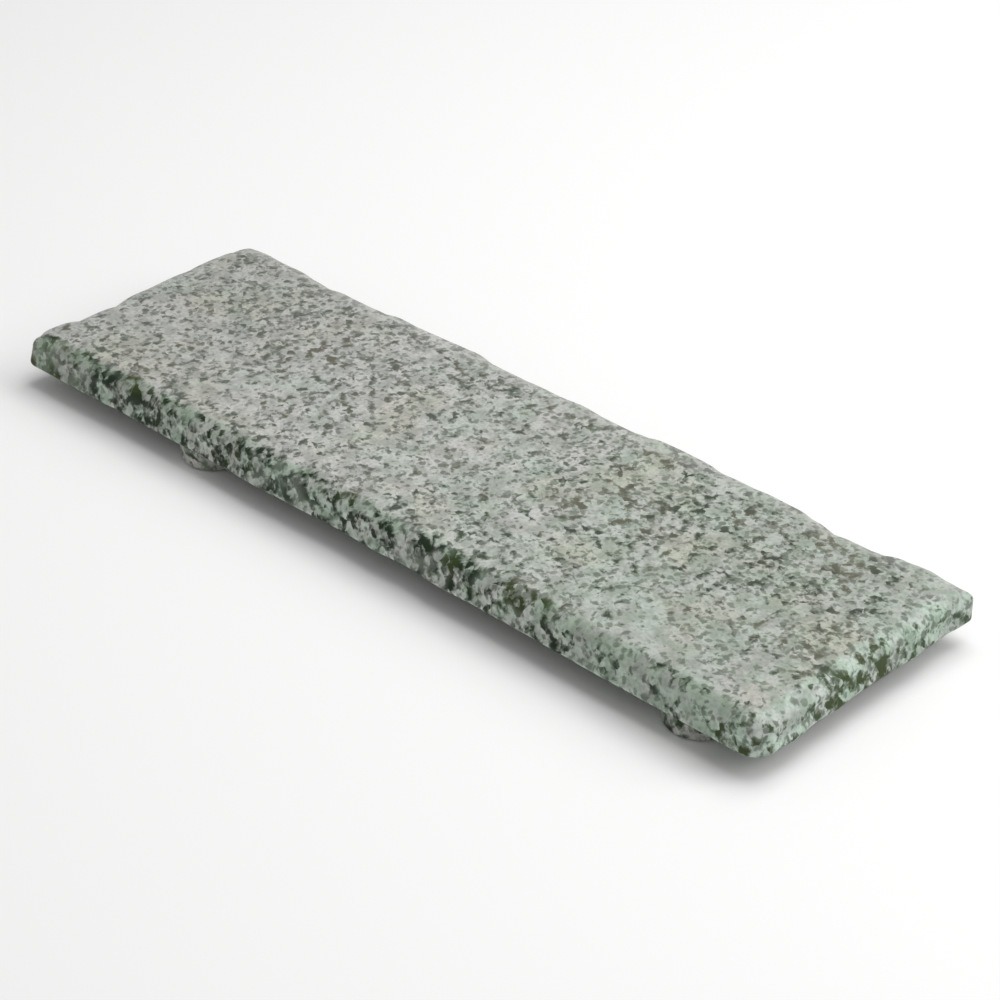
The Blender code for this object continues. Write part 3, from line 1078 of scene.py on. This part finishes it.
def pad_profile(sizes, spot):
    """A flat disc with round edges and ring grooves underneath."""
    radius = spot.width / 2
    low = spot.low
    broken = pad_edge * broken_edge_share
    profile = [
        (0.0, spot.high), (radius - pad_edge, spot.high), (radius, spot.high - pad_edge),
        (radius, low + pad_edge), (radius - broken, low + broken), (radius - pad_edge, low),
    ]
    pitch = (radius - 2 * pad_edge) / (sizes.groove_count + 1)
    mouth = pitch * groove_mouth_share
    floor = mouth * groove_floor_share
    groove_top = low + sizes.groove_depth
    for groove in range(sizes.groove_count):
        middle = radius - pad_edge - pitch * (groove + first_groove_share)
        profile += [
            (middle + mouth, low), (middle + floor, groove_top),
            (middle - floor, groove_top), (middle - mouth, low),
        ]
    profile.append((0.0, low))
    return profile


class TRAY_OT_build_shell(bpy.types.Operator):
    """Build the hewn slab's fine skin, with its hollow and bosses"""

    bl_idname = "tray.build_shell"
    bl_label = "Build slab"

    def execute(self, context):
        sizes = context.scene.tray_skin
        rings = hewn_relief(slab_rings(slab_section, outline_spacing), sizes)
        finish = context.scene.tray_finish
        material = granite_material(
            "stone_look_melamine", finish, finish.wall_ground_with_painted_light, finish.wall_crowding,
        )
        skin = add_piece("slab_skin", lofted_mesh("slab_skin", rings), material)
        core = add_piece("core", lofted_mesh("core", slab_rings(core_section, core_spacing)))
        bosses, bores = [], []
        spigot_diameter = context.scene.tray_feet.spigot_diameter
        for corner in corner_names:
            foot = spot_of("foot_" + corner)
            boss = turned_piece("boss_" + corner, boss_profile())
            bore = turned_piece("bore_" + corner, bore_profile(spigot_diameter, foot.high))
            boss.location = bore.location = (foot.x, foot.y, 0.0)
            cut_away(core, boss)
            bosses.append(boss)
            bores.append(bore)
        for cutter in (core, *bores):
            cut_away(skin, cutter)
        settle(skin)
        for cutter in (core, *bosses, *bores):
            bpy.data.objects.remove(cutter, do_unlink=True)
        dress(skin, "stone_look_melamine", "tray_shell")
        return {"FINISHED"}


class TRAY_OT_build_feet(bpy.types.Operator):
    """Turn the four feet"""

    bl_idname = "tray.build_feet"
    bl_label = "Build feet"

    def execute(self, context):
        sizes = context.scene.tray_feet
        finish = context.scene.tray_finish
        for number, corner in enumerate(corner_names):
            node = "foot_" + corner
            # The feet's ground carries painted light against the tray's shadow.
            material = granite_material(
                "foot_melamine_" + corner, finish, finish.foot_ground_with_painted_light, finish.foot_crowding,
                (foot_noise_step * (number + 1), foot_noise_shift, 0.0),
            )
            profile = foot_profile(sizes, spot_of(node))
            stand_turned(node, "foot_melamine", "turned_" + node, profile, material)
        return {"FINISHED"}


class TRAY_OT_build_pads(bpy.types.Operator):
    """Turn the four anti-slip pads, with ring grooves underneath"""

    bl_idname = "tray.build_pads"
    bl_label = "Build pads"

    def execute(self, context):
        sizes = context.scene.tray_feet
        material = silicone_material(sizes.pad_colour, sizes.pad_dust)
        for corner in corner_names:
            node = "pad_" + corner
            profile = pad_profile(sizes, spot_of(node))
            stand_turned(node, "pad_silicone", "grooved_" + node, profile, material)
        return {"FINISHED"}


def add_softbox(name, power, size, place):
    """A square area light that faces the tray's middle."""
    lamp = bpy.data.lights.new(name, "AREA")
    lamp.energy = power
    lamp.size = size
    holder = bpy.data.objects.new(name, lamp)
    bpy.context.scene.collection.objects.link(holder)
    holder.location = place
    holder.rotation_euler = (-Vector(place)).to_track_quat("-Z", "Y").to_euler()


class TRAY_OT_set_stage(bpy.types.Operator):
    """Lay the floor and set the lights and the camera"""

    bl_idname = "tray.set_stage"
    bl_label = "Set the studio"

    def execute(self, context):
        studio = context.scene.tray_studio
        scene = context.scene
        bench = NodeBench("pale_floor")
        bench.feed(bench.shader, {"Base Color": studio.floor_colour, "Roughness": floor_roughness})
        bpy.ops.mesh.primitive_plane_add(size=floor_size, location=(0.0, 0.0, 0.0))
        floor = context.active_object
        floor.name = "floor"
        floor.data.materials.append(bench.material)

        world = bpy.data.worlds.new("studio")
        world.use_nodes = True
        sky = world.node_tree.nodes["Background"]
        sky.inputs["Color"].default_value = (1.0, 1.0, 1.0, 1.0)
        sky.inputs["Strength"].default_value = studio.sky_strength
        scene.world = world
        add_softbox("key_light", studio.key_power, key_size, key_place)
        add_softbox("top_light", studio.top_power, top_size, top_place)

        lens = bpy.data.cameras.new("camera")
        lens.lens = studio.lens
        lens.sensor_width = sensor_width
        camera = bpy.data.objects.new("camera", lens)
        scene.collection.objects.link(camera)
        gaze = Vector((
            math.cos(studio.heading) * math.cos(studio.tilt),
            math.sin(studio.heading) * math.cos(studio.tilt),
            -math.sin(studio.tilt),
        ))
        camera.location = Vector(studio.aim) - gaze * studio.distance
        camera.rotation_euler = gaze.to_track_quat("-Z", "Y").to_euler()
        scene.camera = camera
        scene.view_settings.view_transform = "Standard"
        return {"FINISHED"}


class TRAY_PT_sidebar(bpy.types.Panel):
    """Lists the settings and the steps of the tray"""

    bl_idname = "TRAY_PT_sidebar"
    bl_label = "Serving tray"
    bl_space_type = "VIEW_3D"
    bl_region_type = "UI"
    bl_category = "Serving tray"

    def draw(self, context):
        column = self.layout.column()
        for name in groups:
            group = getattr(context.scene, name)
            for setting in group.bl_rna.properties:
                if setting.identifier not in ("rna_type", "name"):
                    column.prop(group, setting.identifier)
        for step in steps:
            column.operator(step.bl_idname)


groups = {
    "tray_skin": TraySkinSizes,
    "tray_feet": FootSizes,
    "tray_finish": GraniteFinish,
    "tray_studio": StudioSettings,
}
steps = (TRAY_OT_build_shell, TRAY_OT_build_feet, TRAY_OT_build_pads, TRAY_OT_set_stage)


def register():
    """Make the settings, steps and panel known to Blender."""
    for item in (*groups.values(), *steps, TRAY_PT_sidebar):
        bpy.utils.register_class(item)
    for name, group in groups.items():
        setattr(bpy.types.Scene, name, PointerProperty(type=group))


def unregister():
    """Take them away again."""
    for name in groups:
        delattr(bpy.types.Scene, name)
    for item in (TRAY_PT_sidebar, *reversed(steps), *reversed(groups.values())):
        bpy.utils.unregister_class(item)


def main():
    """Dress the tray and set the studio."""
    register()
    bpy.ops.tray.build_shell()
    bpy.ops.tray.build_feet()
    bpy.ops.tray.build_pads()
    bpy.ops.tray.set_stage()


if __name__ == "__main__":
    main()
